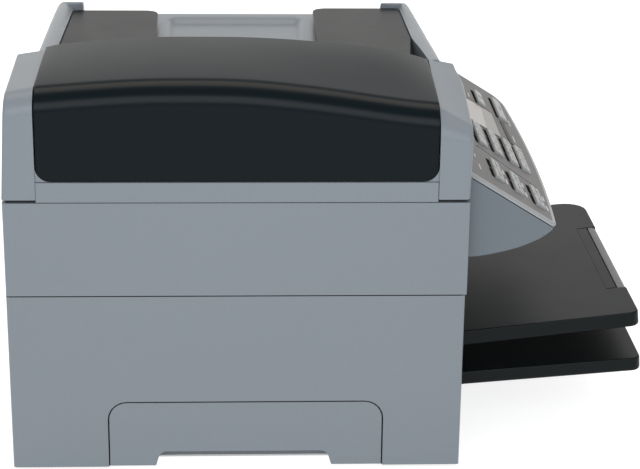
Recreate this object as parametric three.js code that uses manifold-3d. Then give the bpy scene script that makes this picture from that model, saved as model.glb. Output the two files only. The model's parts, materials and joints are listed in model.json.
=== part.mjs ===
// Desktop laser fax machine: two-storey cabinet with a side-loading paper cassette, two output
// trays and a sloped control panel at the front, and a sheet feeder for originals on the top.
// Millimetres, +Z up, +X to the machine's right, the front faces -Y.
// Origin: centre of the bounding box on the table.
import * as THREE from "three";
import { mergeVertices } from "three/addons/utils/BufferGeometryUtils.js";
import { ConvexGeometry } from "three/addons/geometries/ConvexGeometry.js";
import Module from "manifold-3d";

const wasm = await Module();
wasm.setup();

// ---- driving dimensions ------------------------------------------------------------------
const WIDTH = 404; // cabinet, left side to right side (X)
const CABINET_HALF_DEPTH = 203; // cabinet centre to its front and rear face
const CABINET_Y = 86.2; // Y of the cabinet's centre: the trays reach out in front of it
const FOOT_H = 4; // the cabinet's lower edge above the table
const LOWER_H = 166.3; // lower housing
const MID_0 = 167.3, MID_H = 253.5; // main housing
const TOP_0 = 256.4; // scanner unit's lower edge, above a shadow gap
const WALL = 3;

const PANEL_ANGLE = (32 * Math.PI) / 180; // slope of the control panel
const PANEL_F = 284, PANEL_H0 = 226.75; // its front edge at the left end
const PANEL_TILT = Math.atan2(6, 383); // the panel also rises towards the right end
const PANEL_W0 = 17, PANEL_W1 = 400;
const MAIN_FRONT = 204.4; // the main housing and scanner unit stand a little proud of the lower housing

const CASSETTE_F0 = -115.6, CASSETTE_F1 = 131.6, CASSETTE_TOP = 63.6;

const UPPER_TRAY = { f: 196, h: 110.46, angle: Math.atan2(17.4, 151), w0: 48, w1: 368, len: 176, t: 14.4 };
const LOWER_TRAY = { f: 196, h: 69.99, angle: Math.atan2(12.1, 148), w0: 48, w1: 368, len: 180, t: 13.2 };

const HOOD_F0 = -173.2, HOOD_F1 = 176.2, HOOD_W0 = 2, HOOD_W1 = 130, HOOD_BOTTOM = 272.6;

// ---- local measures: w = distance from the left side, f = forwards from the cabinet's centre,
// h = height above the cabinet's lower edge ------------------------------------------------
const V = (w, f, h) => new THREE.Vector3(w - WIDTH / 2, CABINET_Y - f, h + FOOT_H);

function solid(geometry) {
  const g = geometry.index ? geometry.toNonIndexed() : geometry.clone();
  g.deleteAttribute("normal");
  g.deleteAttribute("uv");
  const m = mergeVertices(g, 1e-4);
  return new wasm.Manifold(
    new wasm.Mesh({
      numProp: 3,
      vertProperties: m.attributes.position.array,
      triVerts: new Uint32Array(m.index.array),
    }),
  );
}

// A polygon of [a, b] pairs extruded from o: a runs along ea, b along eb, the depth along ea x eb.
function extrude(poly, o, ea, eb, depth, holes = []) {
  const shape = new THREE.Shape(poly.map(([a, b]) => new THREE.Vector2(a, b)));
  for (const hole of holes) shape.holes.push(new THREE.Path(hole.map(([a, b]) => new THREE.Vector2(a, b))));
  const g = new THREE.ExtrudeGeometry(shape, { depth, bevelEnabled: false, steps: 1 });
  const ec = new THREE.Vector3().crossVectors(ea, eb);
  g.applyMatrix4(new THREE.Matrix4().makeBasis(ea, eb, ec).setPosition(o));
  return solid(g);
}
const EX = new THREE.Vector3(1, 0, 0), EY = new THREE.Vector3(0, 1, 0), EZ = new THREE.Vector3(0, 0, 1);
const EF = new THREE.Vector3(0, -1, 0);
// prisms of profiles: (f, h) along w; (w, h) along f; (w, f) along h
const prismW = (poly, w0, w1, holes = []) =>
  extrude(poly.map(([f, h]) => [CABINET_Y - f, h + FOOT_H]), new THREE.Vector3(w0 - WIDTH / 2, 0, 0), EY, EZ, w1 - w0,
    holes.map((p) => p.map(([f, h]) => [CABINET_Y - f, h + FOOT_H])));
const prismF = (poly, f0, f1) =>
  extrude(poly.map(([w, h]) => [w - WIDTH / 2, h + FOOT_H]), new THREE.Vector3(0, CABINET_Y - f0, 0), EX, EZ, f1 - f0);
const prismH = (poly, h0, h1) =>
  extrude(poly.map(([w, f]) => [w - WIDTH / 2, CABINET_Y - f]), new THREE.Vector3(0, 0, h0 + FOOT_H), EX, EY, h1 - h0);
function box(w0, w1, f0, f1, h0, h1) {
  const g = new THREE.BoxGeometry(w1 - w0, f1 - f0, h1 - h0);
  const c = V((w0 + w1) / 2, (f0 + f1) / 2, (h0 + h1) / 2);
  g.translate(c.x, c.y, c.z);
  return solid(g);
}
const hull = (pts) => solid(new ConvexGeometry(pts.map(([w, f, h]) => V(w, f, h))));
const rect = (a0, a1, b0, b1) => [[a0, b0], [a1, b0], [a1, b1], [a0, b1]];

// The polygon with corner i rounded to radius radii[i].
function rounded(poly, radii, n = 4) {
  const out = [];
  poly.forEach((p, i) => {
    const r = Array.isArray(radii) ? radii[i] : radii;
    if (!r) return out.push(p);
    const a = poly[(i + poly.length - 1) % poly.length], b = poly[(i + 1) % poly.length];
    const da = [a[0] - p[0], a[1] - p[1]], db = [b[0] - p[0], b[1] - p[1]];
    const la = Math.hypot(...da), lb = Math.hypot(...db);
    const ua = [da[0] / la, da[1] / la], ub = [db[0] / lb, db[1] / lb];
    const half = Math.acos(Math.max(-1, Math.min(1, ua[0] * ub[0] + ua[1] * ub[1]))) / 2;
    const t = Math.min(r / Math.tan(half), la * 0.49, lb * 0.49);
    const rr = t * Math.tan(half), k = rr / Math.sin(half);
    const m = [ua[0] + ub[0], ua[1] + ub[1]], lm = Math.hypot(...m);
    const c = [p[0] + (m[0] / lm) * k, p[1] + (m[1] / lm) * k];
    const a0 = Math.atan2(p[1] + ua[1] * t - c[1], p[0] + ua[0] * t - c[0]);
    let a1 = Math.atan2(p[1] + ub[1] * t - c[1], p[0] + ub[0] * t - c[0]);
    while (a1 - a0 > Math.PI) a1 -= 2 * Math.PI;
    while (a1 - a0 < -Math.PI) a1 += 2 * Math.PI;
    for (let j = 0; j <= n; j++) {
      const q = a0 + ((a1 - a0) * j) / n;
      out.push([c[0] + rr * Math.cos(q), c[1] + rr * Math.sin(q)]);
    }
  });
  return out;
}

// A turned piece: [r, x] steps from one end to the other, about an axis along dir through o.
function turned(steps, o, dir, seg = 20) {
  const pts = steps.map(([r, x]) => new THREE.Vector2(r, x));
  if (pts[0].x > 0) pts.unshift(new THREE.Vector2(0, pts[0].y));
  if (pts[pts.length - 1].x > 0) pts.push(new THREE.Vector2(0, pts[pts.length - 1].y));
  const g = new THREE.LatheGeometry(pts, seg);
  g.applyQuaternion(new THREE.Quaternion().setFromUnitVectors(EY, dir));
  g.translate(o.x, o.y, o.z);
  const s = solid(g);
  if (s.volume() < 0) throw new Error("turned profile runs the wrong way");
  return s;
}
// A roller with a shaft: along X (from w0) or along the depth of the machine (from f0).
const rollerW = (f, h, r, rs, w0, w1, b0, b1, seg = 20) =>
  turned([[rs, w0], [rs, b0], [r, b0], [r, b1], [rs, b1], [rs, w1]], V(0, f, h), EX, seg);
const rollerF = (w, h, r, rs, f0, f1, b0, b1, seg = 20) =>
  turned([[rs, f0], [rs, b0], [r, b0], [r, b1], [rs, b1], [rs, f1]], V(w, 0, h), EF, seg);
const rodW = (f, h, r, w0, w1, seg = 16) => turned([[r, w0], [r, w1]], V(0, f, h), EX, seg);
const rodF = (w, h, r, f0, f1, seg = 16) => turned([[r, f0], [r, f1]], V(w, 0, h), EF, seg);

// A body skinned through rings that have the same number of points, all of them convex.
function loft(rings) {
  const n = rings[0].length, pos = [];
  const tri = (a, b, c) => pos.push(a.x, a.y, a.z, b.x, b.y, b.z, c.x, c.y, c.z);
  for (let i = 0; i + 1 < rings.length; i++)
    for (let j = 0; j < n; j++) {
      const k = (j + 1) % n, p = rings[i], q = rings[i + 1];
      tri(p[j], p[k], q[k]);
      tri(p[j], q[k], q[j]);
    }
  const first = rings[0], last = rings[rings.length - 1];
  for (let j = 1; j + 1 < n; j++) {
    tri(first[0], first[j + 1], first[j]);
    tri(last[0], last[j], last[j + 1]);
  }
  const g = new THREE.BufferGeometry();
  g.setAttribute("position", new THREE.Float32BufferAttribute(pos, 3));
  let s = solid(g);
  if (s.volume() < 0) {
    for (let i = 0; i < pos.length; i += 9)
      for (let k = 0; k < 3; k++) [pos[i + 3 + k], pos[i + 6 + k]] = [pos[i + 6 + k], pos[i + 3 + k]];
    const g2 = new THREE.BufferGeometry();
    g2.setAttribute("position", new THREE.Float32BufferAttribute(pos, 3));
    s = solid(g2);
  }
  return s;
}
const lerpTable = (table, x) => {
  if (x <= table[0][0]) return table[0][1];
  for (let i = 1; i < table.length; i++)
    if (x <= table[i][0]) {
      const [x0, y0] = table[i - 1], [x1, y1] = table[i];
      return y0 + ((y1 - y0) * (x - x0)) / (x1 - x0);
    }
  return table[table.length - 1][1];
};
const cut = (s, ...others) => others.reduce((a, b) => a.subtract(b), s);
const join = (s, ...others) => others.reduce((a, b) => a.add(b), s);

// ---- materials ------------------------------------------------------------------------------
const mat = (color, roughness, metalness = 0, extra = {}) =>
  new THREE.MeshStandardMaterial({ color, roughness, metalness, ...extra });
const LIGHT = mat(0x99a1a9, 0.5), DARK = mat(0x3a4042, 0.55), HOOD = mat(0x32383c, 0.4);
const PLATE = mat(0x6f7070, 0.5), KEY = mat(0xb4b8ba, 0.45), STEEL = mat(0xb9bcc0, 0.4, 0.9);
const BLACK = mat(0x1d1f21, 0.6), RUBBER = mat(0x26282a, 0.85), LCD = mat(0xc9c3bd, 0.2);
const BOARD = mat(0x2d5a3a, 0.6), GREY = mat(0x84898d, 0.55), DRUM = mat(0x3f6f66, 0.25);
const GLASS = mat(0xa8b8b4, 0.05, 0, { transparent: true, opacity: 0.35 }), ROLLER = mat(0x6e4a3c, 0.7);
const TEFLON = mat(0x7a2e22, 0.5);

const fax = new THREE.Group();
fax.name = "fax_machine";
function add(name, s, material) {
  const m = s.getMesh(), n = m.numProp, v = new Float32Array(m.numVert * 3);
  for (let i = 0; i < m.numVert; i++) v.set(m.vertProperties.subarray(i * n, i * n + 3), i * 3);
  const g = new THREE.BufferGeometry();
  g.setAttribute("position", new THREE.BufferAttribute(v, 3));
  g.setIndex(new THREE.BufferAttribute(new Uint32Array(m.triVerts), 1));
  const flat = g.toNonIndexed();
  flat.computeVertexNormals();
  const mesh = new THREE.Mesh(flat, material);
  mesh.name = name;
  fax.add(mesh);
}

// ---- frame: base, feet, housings -----------------------------------------------------------
add("base_plate", box(18, 398, -197, 197, 0.9, 2.9), STEEL);
[["foot_rear_left", 36, -178], ["foot_front_left", 36, 172], ["foot_rear_right", 370, -178], ["foot_front_right", 370, 172]].forEach(
  ([name, w, f]) => add(name, turned([[9, 0], [10, 1], [10, 3], [8.5, 4.6]], V(w, f, -FOOT_H), EZ, 16), RUBBER));

const OUT = rounded([[0, -203], [404, -203], [404, 203], [0, 203]], [2.5, 5, 5, 2], 2);
const IN = [[WALL, -200], [WIDTH - WALL, -200], [WIDTH - WALL, 200], [WALL, 200]];
const ring = (outer, h0, h1) => cut(prismH(outer, h0, h1), prismH(IN, h0 - 1, h1 + 1));
const OUT_MAIN = rounded([[0, -203], [404, -203], [404, MAIN_FRONT], [0, MAIN_FRONT]], [2.5, 5, 5, 1.4], 2);

const CASSETTE_HOLE = rounded([[-116.6, -2], [132.6, -2], [132.6, 64.6], [-116.6, 64.6]], [0, 0, 17.4, 17.4], 5);
add("lower_housing", cut(
  ring(OUT, 0, LOWER_H),
  prismW(CASSETTE_HOLE, -2, 6), // cassette
  box(44, 372, 195, 210, 94.8, 152), // copies come out on the upper tray
  box(44, 372, 195, 210, 56, 90), // second outlet, on the lower tray
  box(60, 344, -210, -195, 76, 150), // jam door
  box(321.5, 350.5, -210, -195, 19.5, 42.5), // power inlet
  box(291.4, 306.6, -210, -195, 21.2, 40.8), // power switch
  box(43.6, 84.4, -210, -195, 21.6, 40.4), // line and handset jacks
), LIGHT);
add("main_housing", cut(
  join(ring(OUT_MAIN, MID_0, MID_H), cut(box(1, 403, -202, 202, MID_H - 3, MID_H), box(40, 364, -150, 120, 200, 300))),
  box(120, 284, -210, -196, 196, 226), // rear air outlet
), LIGHT);
add("rear_door", join(prismW(rounded(rect(-203, -200.2, 76.7, 149.3), 0), 60.7, 343.3),
  box(190, 214, -200.4, -197.6, 132, 146)), LIGHT);

// ---- output trays -------------------------------------------------------------------------
function tray(t) {
  const o = V(0, t.f, t.h);
  const et = new THREE.Vector3(0, -Math.cos(t.angle), Math.sin(t.angle));
  const slab = (poly, n0, n1, ow = 0) => {
    const down = new THREE.Vector3().crossVectors(EX, et); // pointing down
    return extrude(poly, o.clone().addScaledVector(down, n0), EX, et, n1 - n0);
  };
  const out = rounded([[t.w0, 0], [t.w1, 0], [t.w1, t.len], [t.w0, t.len]], [0, 0, 18, 7], 4);
  // cross-section with chamfered long edges
  const down = new THREE.Vector3().crossVectors(EX, et);
  const section = [[t.w0, 2.6], [t.w0 + 0.9, 0.9], [t.w0 + 2.6, 0], [t.w1 - 2.6, 0], [t.w1 - 0.9, 0.9], [t.w1, 2.6], [t.w1, t.t - 1.6], [t.w1 - 1.6, t.t], [t.w0 + 1.6, t.t], [t.w0, t.t - 1.6]];
  const profile = extrude(section.map(([w, n]) => [w - WIDTH / 2, -n]), o.clone().setX(0).addScaledVector(et, -5), EX, down.clone().negate(), 210);
  // ribbed underside: 7 x 3 cells
  const cells = [], cw = (t.w1 - t.w0 - 8 - 6 * 3) / 7, ct = (t.len - 26 - 10 - 2 * 3) / 3;
  for (let i = 0; i < 7; i++)
    for (let j = 0; j < 3; j++) {
      const a = t.w0 + 4 + i * (cw + 3), b = 10 + j * (ct + 3);
      cells.push(slab([[a, b], [a + cw, b], [a + cw, b + ct], [a, b + ct]], 4.6, t.t + 1));
    }
  return { slab, body: cut(slab(out, 0, t.t).intersect(profile), ...cells), o, et };
}
const upper = tray(UPPER_TRAY), lower = tray(LOWER_TRAY);
// rounded front lip: everything beyond a slanted nose is cut off
const nose = (t, o, et) => {
  const down = new THREE.Vector3().crossVectors(EX, et);
  const poly = [[t.len - 5, -1], [t.len + 3, -1], [t.len + 3, 4.4], [t.len, 4.4], [t.len - 1.4, 1.6], [t.len - 5, 0.001]];
  return extrude(poly, o.clone().setX(-WIDTH / 2), et, down, WIDTH);
};
const stopPocket = upper.slab([[111.5, 156.4], [280.5, 156.4], [280.5, 182], [111.5, 182]], -2, 5.1);
add("upper_tray", cut(upper.body, nose(UPPER_TRAY, upper.o, upper.et), stopPocket), DARK);
add("lower_tray", cut(lower.body, nose(LOWER_TRAY, lower.o, lower.et)), DARK);
{
  const down = new THREE.Vector3().crossVectors(EX, upper.et);
  const poly = [[157.6, 1.4], [158.4, 0.8], [166.4, 2.4], [167.4, 1.4], [168.6, 0.3], [172.4, 0.1], [174.6, 0.7], [175.8, 2.2], [175.6, 4.4], [158.4, 4.4], [157.6, 3.6]];
  const strip = extrude(poly, upper.o.clone().setX(112.3 - WIDTH / 2), upper.et, down, 279.7 - 112.3);
  add("paper_stopper", strip, GREY);
}

// ---- electrics at the rear -----------------------------------------------------------------
add("power_inlet", join(
  cut(box(322, 350, -202.8, -180, 20, 42), box(325, 347, -204, -188, 24, 38)),
  box(328.4, 330.4, -196, -187.5, 29, 33), box(341.6, 343.6, -196, -187.5, 29, 33), box(335, 337, -197, -187.5, 31, 35),
), BLACK);
{
  const c = Math.cos(0.12), s = Math.sin(0.12);
  const pts = [[-5.8, 8.4], [-4.6, 0], [-5.8, -8.4], [4, -6], [5, 0], [4, 6]].map(([a, b]) => [-196 + a * c - b * s, 31 + a * s + b * c]);
  add("power_switch", prismW(pts, 292.2, 305.8), BLACK);
}
add("jack_block", cut(box(44, 84, -202.8, -184, 22, 40),
  box(47.5, 60.5, -204, -189, 25, 36), box(67.5, 80.5, -204, -189, 25, 36)), BLACK);
add("power_supply", join(box(92, 282, -194, -122, 4, 6), box(92, 94, -194, -122, 5, 58), box(280, 282, -194, -122, 5, 58),
  box(104, 140, -180, -140, 5, 44), box(154, 178, -178, -150, 5, 40), box(196, 262, -184, -134, 5, 28)), STEEL);
add("main_board", join(box(389.6, 391.6, -160, 160, 12, 150), box(384, 390, -110, -70, 60, 100), box(386, 390, -30, 10, 50, 80),
  box(380, 390, 60, 84, 20, 60), box(386, 390, 100, 140, 90, 120), box(382, 390, -150, -130, 110, 140)), BOARD);

// ---- print engine --------------------------------------------------------------------------
add("laser_unit", join(prismW([[-120, 174], [60, 174], [66, 188], [60, 206], [-90, 210], [-120, 196]], 60, 340),
  turned([[24, 0], [24, 12], [20, 16]], V(200, -30, 205), EZ, 20), box(90, 150, 20, 50, 200, 216)), BLACK);
const ARM = (w0, w1) => cut(box(w0, w1, -122, -84, 109, 140), rodW(-112, 120, 4.4, w0 - 2, w1 + 2));
add("toner_cartridge", join(
  prismW([[-90, 112], [-60, 108], [20, 111], [26, 132], [20, 152], [-70, 158], [-90, 146]], 34, 370),
  ARM(34, 39), ARM(365, 370), box(150, 254, 18, 30, 146, 151),
), BLACK);
add("drum", rollerW(-112, 120, 15, 4, 30, 374, 42, 362, 24), DRUM);
add("transfer_roller", rollerW(-112, 95.6, 7.4, 3, 34, 370, 50, 354, 16), RUBBER);
add("pickup_roller", rollerW(-85, 79, 11, 3, 12, 376, 130, 274, 16), RUBBER);
add("fuser_unit", cut(box(28, 376, 38, 118, 74, 146),
  box(34, 370, 42, 114, 78, 142), box(40, 364, 30, 126, 98, 109),
  rodW(78, 118, 4.4, 20, 390), rodW(78, 90.8, 4.4, 20, 390)), STEEL);
add("fuser_roller", rollerW(78, 118, 14, 4, 24, 379, 44, 360, 20), TEFLON);
add("pressure_roller", rollerW(78, 90.8, 11.6, 4, 24, 379, 44, 360, 20), RUBBER);
add("exit_roller", turned([[3, 40], [3, 70], [6, 70], [6, 110], [3, 110], [3, 188], [6, 188], [6, 228], [3, 228], [3, 306], [6, 306], [6, 346], [3, 346], [3, 376]],
  V(0, 187, 118), EX, 14), RUBBER);

// ---- cassette --------------------------------------------------------------------------------
add("cassette_tray", join(
  cut(box(16, 372, -110, 126, 4, 58), box(18.6, 369.4, -107.4, 123.4, 6.6, 70), box(360, 380, -40, 40, 30, 70)),
), GREY);
const NOTCH = rounded([[-75, -4], [87, -4], [81.5, 14.5], [-69.5, 14.5]], [0, 0, 8, 8], 4);
add("cassette_front", cut(
  prismW(rounded([[CASSETTE_F0, 0.5], [CASSETTE_F1, 0.5], [CASSETTE_F1, CASSETTE_TOP], [CASSETTE_F0, CASSETTE_TOP]], [0, 0, 16.4, 16.4], 5), 0.2, 15.7),
  prismW(NOTCH, -2, 12.4),
  ...[0, 1, 2, 3, 4].map((i) => box(3.2, 20, -108 + i * 47, -108 + i * 47 + 42, 20, 54)), // back of the front, ribbed
), LIGHT);
add("lift_plate", box(24, 318, -104, 104, 7.3, 8.8), STEEL);
add("end_guide", join(box(324, 327, -50, 50, 7.3, 46), box(324, 346, -30, 30, 7.3, 9.5)), BLACK);

// ---- scanner unit ---------------------------------------------------------------------------
const RAIL_REAR = -174.1, RAIL_FRONT = 176.8;
const railRear = hull([
  [0, -203, TOP_0], [0, RAIL_REAR, TOP_0], [131, -203, TOP_0], [131, RAIL_REAR, TOP_0],
  [0.4, -197.6, 329], [0.4, RAIL_REAR, 333], [3, -198, 338.6], [3, RAIL_REAR, 342.4], [9, -198.2, 344.6], [9, RAIL_REAR, 348.2],
  [21, -198.3, 349.2], [21, RAIL_REAR, 352.7], [131, -199.4, 352.7], [131, RAIL_REAR, 356.4],
]);
const railFront = hull([
  [0, MAIN_FRONT, TOP_0], [0, RAIL_FRONT, TOP_0], [131, MAIN_FRONT, TOP_0], [131, RAIL_FRONT, TOP_0],
  [0.4, 204.2, 302], [0.4, RAIL_FRONT, 310], [3, 204.4, 310], [3, RAIL_FRONT, 319.6], [9, 204.6, 316], [9, RAIL_FRONT, 327],
  [24, 204.8, 324], [24, RAIL_FRONT, 335.4], [95, 204.8, 338], [131, 201.3, 344.5], [131, RAIL_FRONT, 348.4],
]);
const farRear = hull([
  [130.5, -186, 280], [130.5, -168, 280], [398, -187, 280], [398, -169, 280],
  [130.5, -181.8, 351], [130.5, -178, 355], [130.5, -168, 355], [374, -184, 341], [374, -181, 344], [374, -169, 343.8],
  [390, -182, 339.6], [390, -169, 341], [398, -184, 331], [398, -169, 333.6],
]);
const farFront = hull([
  [130.5, 190, 280], [130.5, 177.4, 280], [220, 171.6, 280], [398, 185, 280], [398, 170.6, 280],
  [130.5, 188.6, 343], [130.5, 185, 348], [130.5, 177.4, 348], [220, 185.4, 342], [220, 182, 346.4], [220, 171.6, 346.4],
  [372, 178.6, 339], [372, 175, 342.8], [372, 170.6, 342.8], [390, 177, 338.4], [390, 171, 340], [398, 178, 331], [398, 171, 333],
]);
const cornerRear = hull([
  [374, -187, 290], [374, -158.6, 290], [386, -187, 280], [386, -158.6, 280], [402, -187, 280], [402, -159, 280],
  [374, -184, 340], [374, -180, 343.8], [374, -160, 343.8], [388, -182, 341], [388, -160, 341.4], [397, -182, 335], [397, -160, 335.4], [401, -183, 328], [401, -160, 328],
]);
const cornerFront = hull([
  [388, 186, 280], [388, 150.6, 280], [402, 187, 280], [402, 151, 280],
  [388, 180, 336], [388, 174, 340.6], [388, 152, 341.4], [396, 178, 335], [396, 152, 336.6], [401, 180, 328], [401, 152, 328],
]);
const DECK_NEAR = 315.5, DECK_FAR = 328;
const deckH = (w) => DECK_NEAR + ((DECK_FAR - DECK_NEAR) * (w - 129)) / (398 - 129);
const deck = hull([
  [130.5, -182, 262], [130.5, 182, 262], [402, -184, 262], [402, 184, 262],
  [130.5, -182, DECK_NEAR], [130.5, 182, DECK_NEAR], [398, -182, DECK_FAR], [398, 182, DECK_FAR], [402, -183, 322], [402, 183, 322],
]);
const shoulders = hull([
  [130.5, -203, TOP_0], [130.5, MAIN_FRONT, TOP_0], [404, -203, TOP_0], [404, MAIN_FRONT, TOP_0],
  [130.5, -203, 278], [130.5, MAIN_FRONT, 278], [404, -203, 278], [404, MAIN_FRONT, 278],
  [130.5, -192, 288], [130.5, 192, 288], [400, -192, 288], [400, 192, 288],
]);
const cheek = (f0, f1) => cut(prismF([[28, 270], [122, 270], [122, 300], [114, 333], [94, 333], [62, 314], [36, 312], [28, 300]], f0, f1),
  rodF(50, 301, 4.4, f0 - 2, f1 + 2), rodF(104, 322, 3.4, f0 - 2, f1 + 2));
add("scanner_housing", cut(
  join(box(13, 131, -203, MAIN_FRONT, TOP_0, 272), railRear, railFront, farRear, farFront, cornerRear, cornerFront, deck, shoulders,
    cheek(-168, -163.5), cheek(163.5, 168)),
  box(136, 394, -176, 176, 250, 308), // inside of the unit, open below
  box(36, 64, -155, 155, 250, 280), // sensor bay
  hull([[215, -70, 330], [215, 67, 330], [381, -72, 340], [381, 68, 340], [224, -62, deckH(224) - 5], [224, 58, deckH(224) - 5], [371, -63, deckH(371) - 5.5], [371, 59, deckH(371) - 5.5]]), // finger well
), LIGHT);
add("side_strip", box(0.3, 12.4, -173.5, 176.2, MID_H + 0.4, 272.1), LIGHT);
add("scan_glass", box(30, 70, -159, 159, 272.4, 275), GLASS);
add("image_sensor", join(box(40, 60, -150, 150, 259, 268), prismF([[44, 267], [56, 267], [53, 271.6], [47, 271.6]], -148, 148)), BLACK);
add("adf_main_roller", rollerF(50, 301, 24, 4, -169.4, 169.4, -120, 120, 24), RUBBER);
add("adf_feed_roller", rollerF(104, 322, 9, 3, -169.4, 169.4, -48, 48, 16), RUBBER);

// feeder cover: arched across the machine, with a rounded left edge
const CREST_NEAR = [[-173.2, 353.8], [-134, 357], [-108, 358.8], [-82, 360.2], [-57, 360.7], [-31, 360.7], [-5, 360.3], [21, 358.8], [46.6, 356.3], [72.5, 353.2], [98.6, 349.6], [125, 345.6], [151, 342], [168, 340.2], [176.2, 339.4]];
const CREST_FAR = [[-173.2, 359.4], [-162, 361.8], [-123.5, 366], [-73, 369], [-33, 369.4], [3.6, 369.1], [40, 367.6], [75, 365], [104, 362.2], [131.7, 358.8], [150.2, 355.6], [162.2, 352.6], [173.4, 349.2], [176.2, 348]];
const STATIONS = [-173.2, -172.2, -169.1, -163.6, -159.2, -140, -123.5, -98, -73, -48, -20, 6, 30, 52, 75, 95, 114, 133, 150, 162.2, 166.6, 172.1, 175.2, 176.2];
function coverRing(f, off, wFar, f0, f1) {
  const near = lerpTable(CREST_NEAR, f) - off, far = lerpTable(CREST_FAR, f) - off;
  const R = 14 - off, d = Math.max(f0 + R - f, f - (f1 - R), 0);
  const low = (off ? HOOD_BOTTOM - 6 : HOOD_BOTTOM) + (R - Math.sqrt(Math.max(0, R * R - d * d)));
  const w0 = HOOD_W0 + off, r = 22 - off, pts = [V(w0, f, low)];
  for (let i = 0; i <= 5; i++) {
    const a = (i / 5) * (Math.PI / 2);
    pts.push(V(w0 + r * (1 - Math.cos(a)), f, near - r + r * Math.sin(a)));
  }
  pts.push(V(wFar, f, far + (off ? 0.05 : 0)), V(wFar, f, low));
  return pts;
}
const coverOut = loft(STATIONS.map((f) => coverRing(f, 0, HOOD_W1, HOOD_F0, HOOD_F1)));
const coverIn = loft([-170.2, -150, ...STATIONS.slice(6, -5), 173.2].map((f) => coverRing(f, 3, HOOD_W1 + 4, -190, 190)));
add("adf_cover", cut(coverOut, coverIn), HOOD);

// document tray: a U-shaped plate that slopes down to the right
const DOC = { w: 137, h: 347, angle: -Math.atan2(10.5, 247) };
const docX = new THREE.Vector3(Math.cos(DOC.angle), 0, Math.sin(DOC.angle));
const docPoly = rounded([
  [0, -166.4], [235.4, -167.4], [235.4, -81], [63, -76.5], [63, 77.5], [249.6, 79], [249.6, 169], [95, 169.2], [0, 160.4],
].map(([a, f]) => [a, -f]), [3, 5, 13, 3, 3, 14, 5, 3, 3], 3);
add("document_tray", extrude(docPoly, V(DOC.w, 0, DOC.h).addScaledVector(new THREE.Vector3().crossVectors(docX, EY), -4), docX, EY, 4), DARK);

// ---- control panel -----------------------------------------------------------------------------
const PC = Math.cos(PANEL_ANGLE), PS = Math.sin(PANEL_ANGLE);
const along = new THREE.Vector3(Math.cos(PANEL_TILT), 0, Math.sin(PANEL_TILT));
const slope = new THREE.Vector3(0, PC, PS);
slope.addScaledVector(along, -slope.dot(along)).normalize();
const normal = new THREE.Vector3().crossVectors(along, slope);
const PANEL_O = V(PANEL_W0, PANEL_F, PANEL_H0);
const lift = (w) => (w - PANEL_W0) * Math.tan(PANEL_TILT);
const bulge = (w) => {
  const R = 17, far = Math.max(0, w - (PANEL_W1 - R)), near = Math.max(0, PANEL_W0 + 5 - w);
  return 8.5 * (1 - ((w - 208) / 196) ** 2) - (R - Math.sqrt(Math.max(0, R * R - far * far))) - (5 - Math.sqrt(Math.max(0, 25 - near * near)));
};
const onPanel = (poly, n0, n1) => extrude(poly.map(([w, s]) => [w - PANEL_W0, s]), PANEL_O.clone().addScaledVector(normal, n0), along, slope, n1 - n0);
const PANEL_W = [PANEL_W0, 18.5, 22, 50, 90, 130, 170, 208, 250, 290, 330, 360, 383, 390, 395, 398.6, PANEL_W1];
const panelRing = (w) => {
  const b = bulge(w);
  const pts = [[204.9, 196.8], [226.6, 198.9], [251.5, 204.8], [270, 213], [280.5, 221.5]];
  const share = [0, 0.25, 0.6, 0.85, 0.97]; // how far each point follows the front edge's curve
  const ring = pts.map(([f, h], i) => [f + b * share[i], h - b * share[i] * (PS / PC)]);
  ring.push([PANEL_F + b, PANEL_H0 - b * (PS / PC) + lift(w)], [204.9, PANEL_H0 + (PANEL_F - 204.9) * (PS / PC) + lift(w)]);
  return ring.map(([f, h]) => V(w, f, h));
};
// outline of the inset plate, following the curved front edge 4 mm inside it
const plateFront = (w) => -bulge(w) / PC + 4;
const PLATE_W = [24, 50, 90, 130, 170, 208, 250, 290, 330, 360, 379, 386, 391, 394.4, 395.8];
const plateOutline = (g) => [
  ...PLATE_W.map((w, i) => {
    const ww = i === 0 ? 21 - g : i === PLATE_W.length - 1 ? 396 + g : w;
    return [ww, plateFront(w) - g + (i >= PLATE_W.length - 4 ? [0.5, 1.4, 2.6, 6][i - PLATE_W.length + 4] : 0)];
  }),
  [396 + g, 89 + g], [21 - g, 89 + g],
];
const INNER = [[190, 203.5, 0], [226, 206, 0], [250, 212.4, 0], [268, 220.4, 0], [274, 226, 1], [206, 269, 1], [190, 271, 1]];
add("panel_housing", cut(
  loft(PANEL_W.map(panelRing)),
  hull([21, 388].flatMap((w) => INNER.map(([f, h, k]) => [w, f, h + k * lift(w)]))),
  onPanel(plateOutline(0.35), -2.5, 4),
  onPanel(rounded(rect(28, 388, 4.4, 84), 4, 2), -7.4, 1),
), LIGHT);

const KEYS = [];
const key = (name, w0, w1, s0, s1) => KEYS.push({ name, w0, w1, s0, s1 });
[["a", 54, 50], ["b", 50, 29], ["c", 46, 6.5]].forEach(([id, w, s]) => {
  key("onetouch_key_" + id + "1", w, w + 23, s, s + 10.5);
  key("onetouch_key_" + id + "2", w + 26, w + 49, s, s + 10.5);
});
[["1", "2", "3", 55], ["4", "5", "6", 37], ["7", "8", "9", 19.2], ["star", "0", "hash", 5.4]].forEach((row) =>
  row.slice(0, 3).forEach((id, i) => key("key_" + id, 146 + i * 23.6, 167 + i * 23.6, row[3], row[3] + 10.5)));
key("start_key", 304, 372, 7.5, 18.5);
key("stop_key", 313, 357, 33, 43);
const LCD_W0 = 222, LCD_W1 = 304, LCD_S0 = 27.5, LCD_S1 = 64;
const FLAP = [[128.4, 69.3], [108.8, 7]]; // division between the one-touch keys and the dial keys

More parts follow.
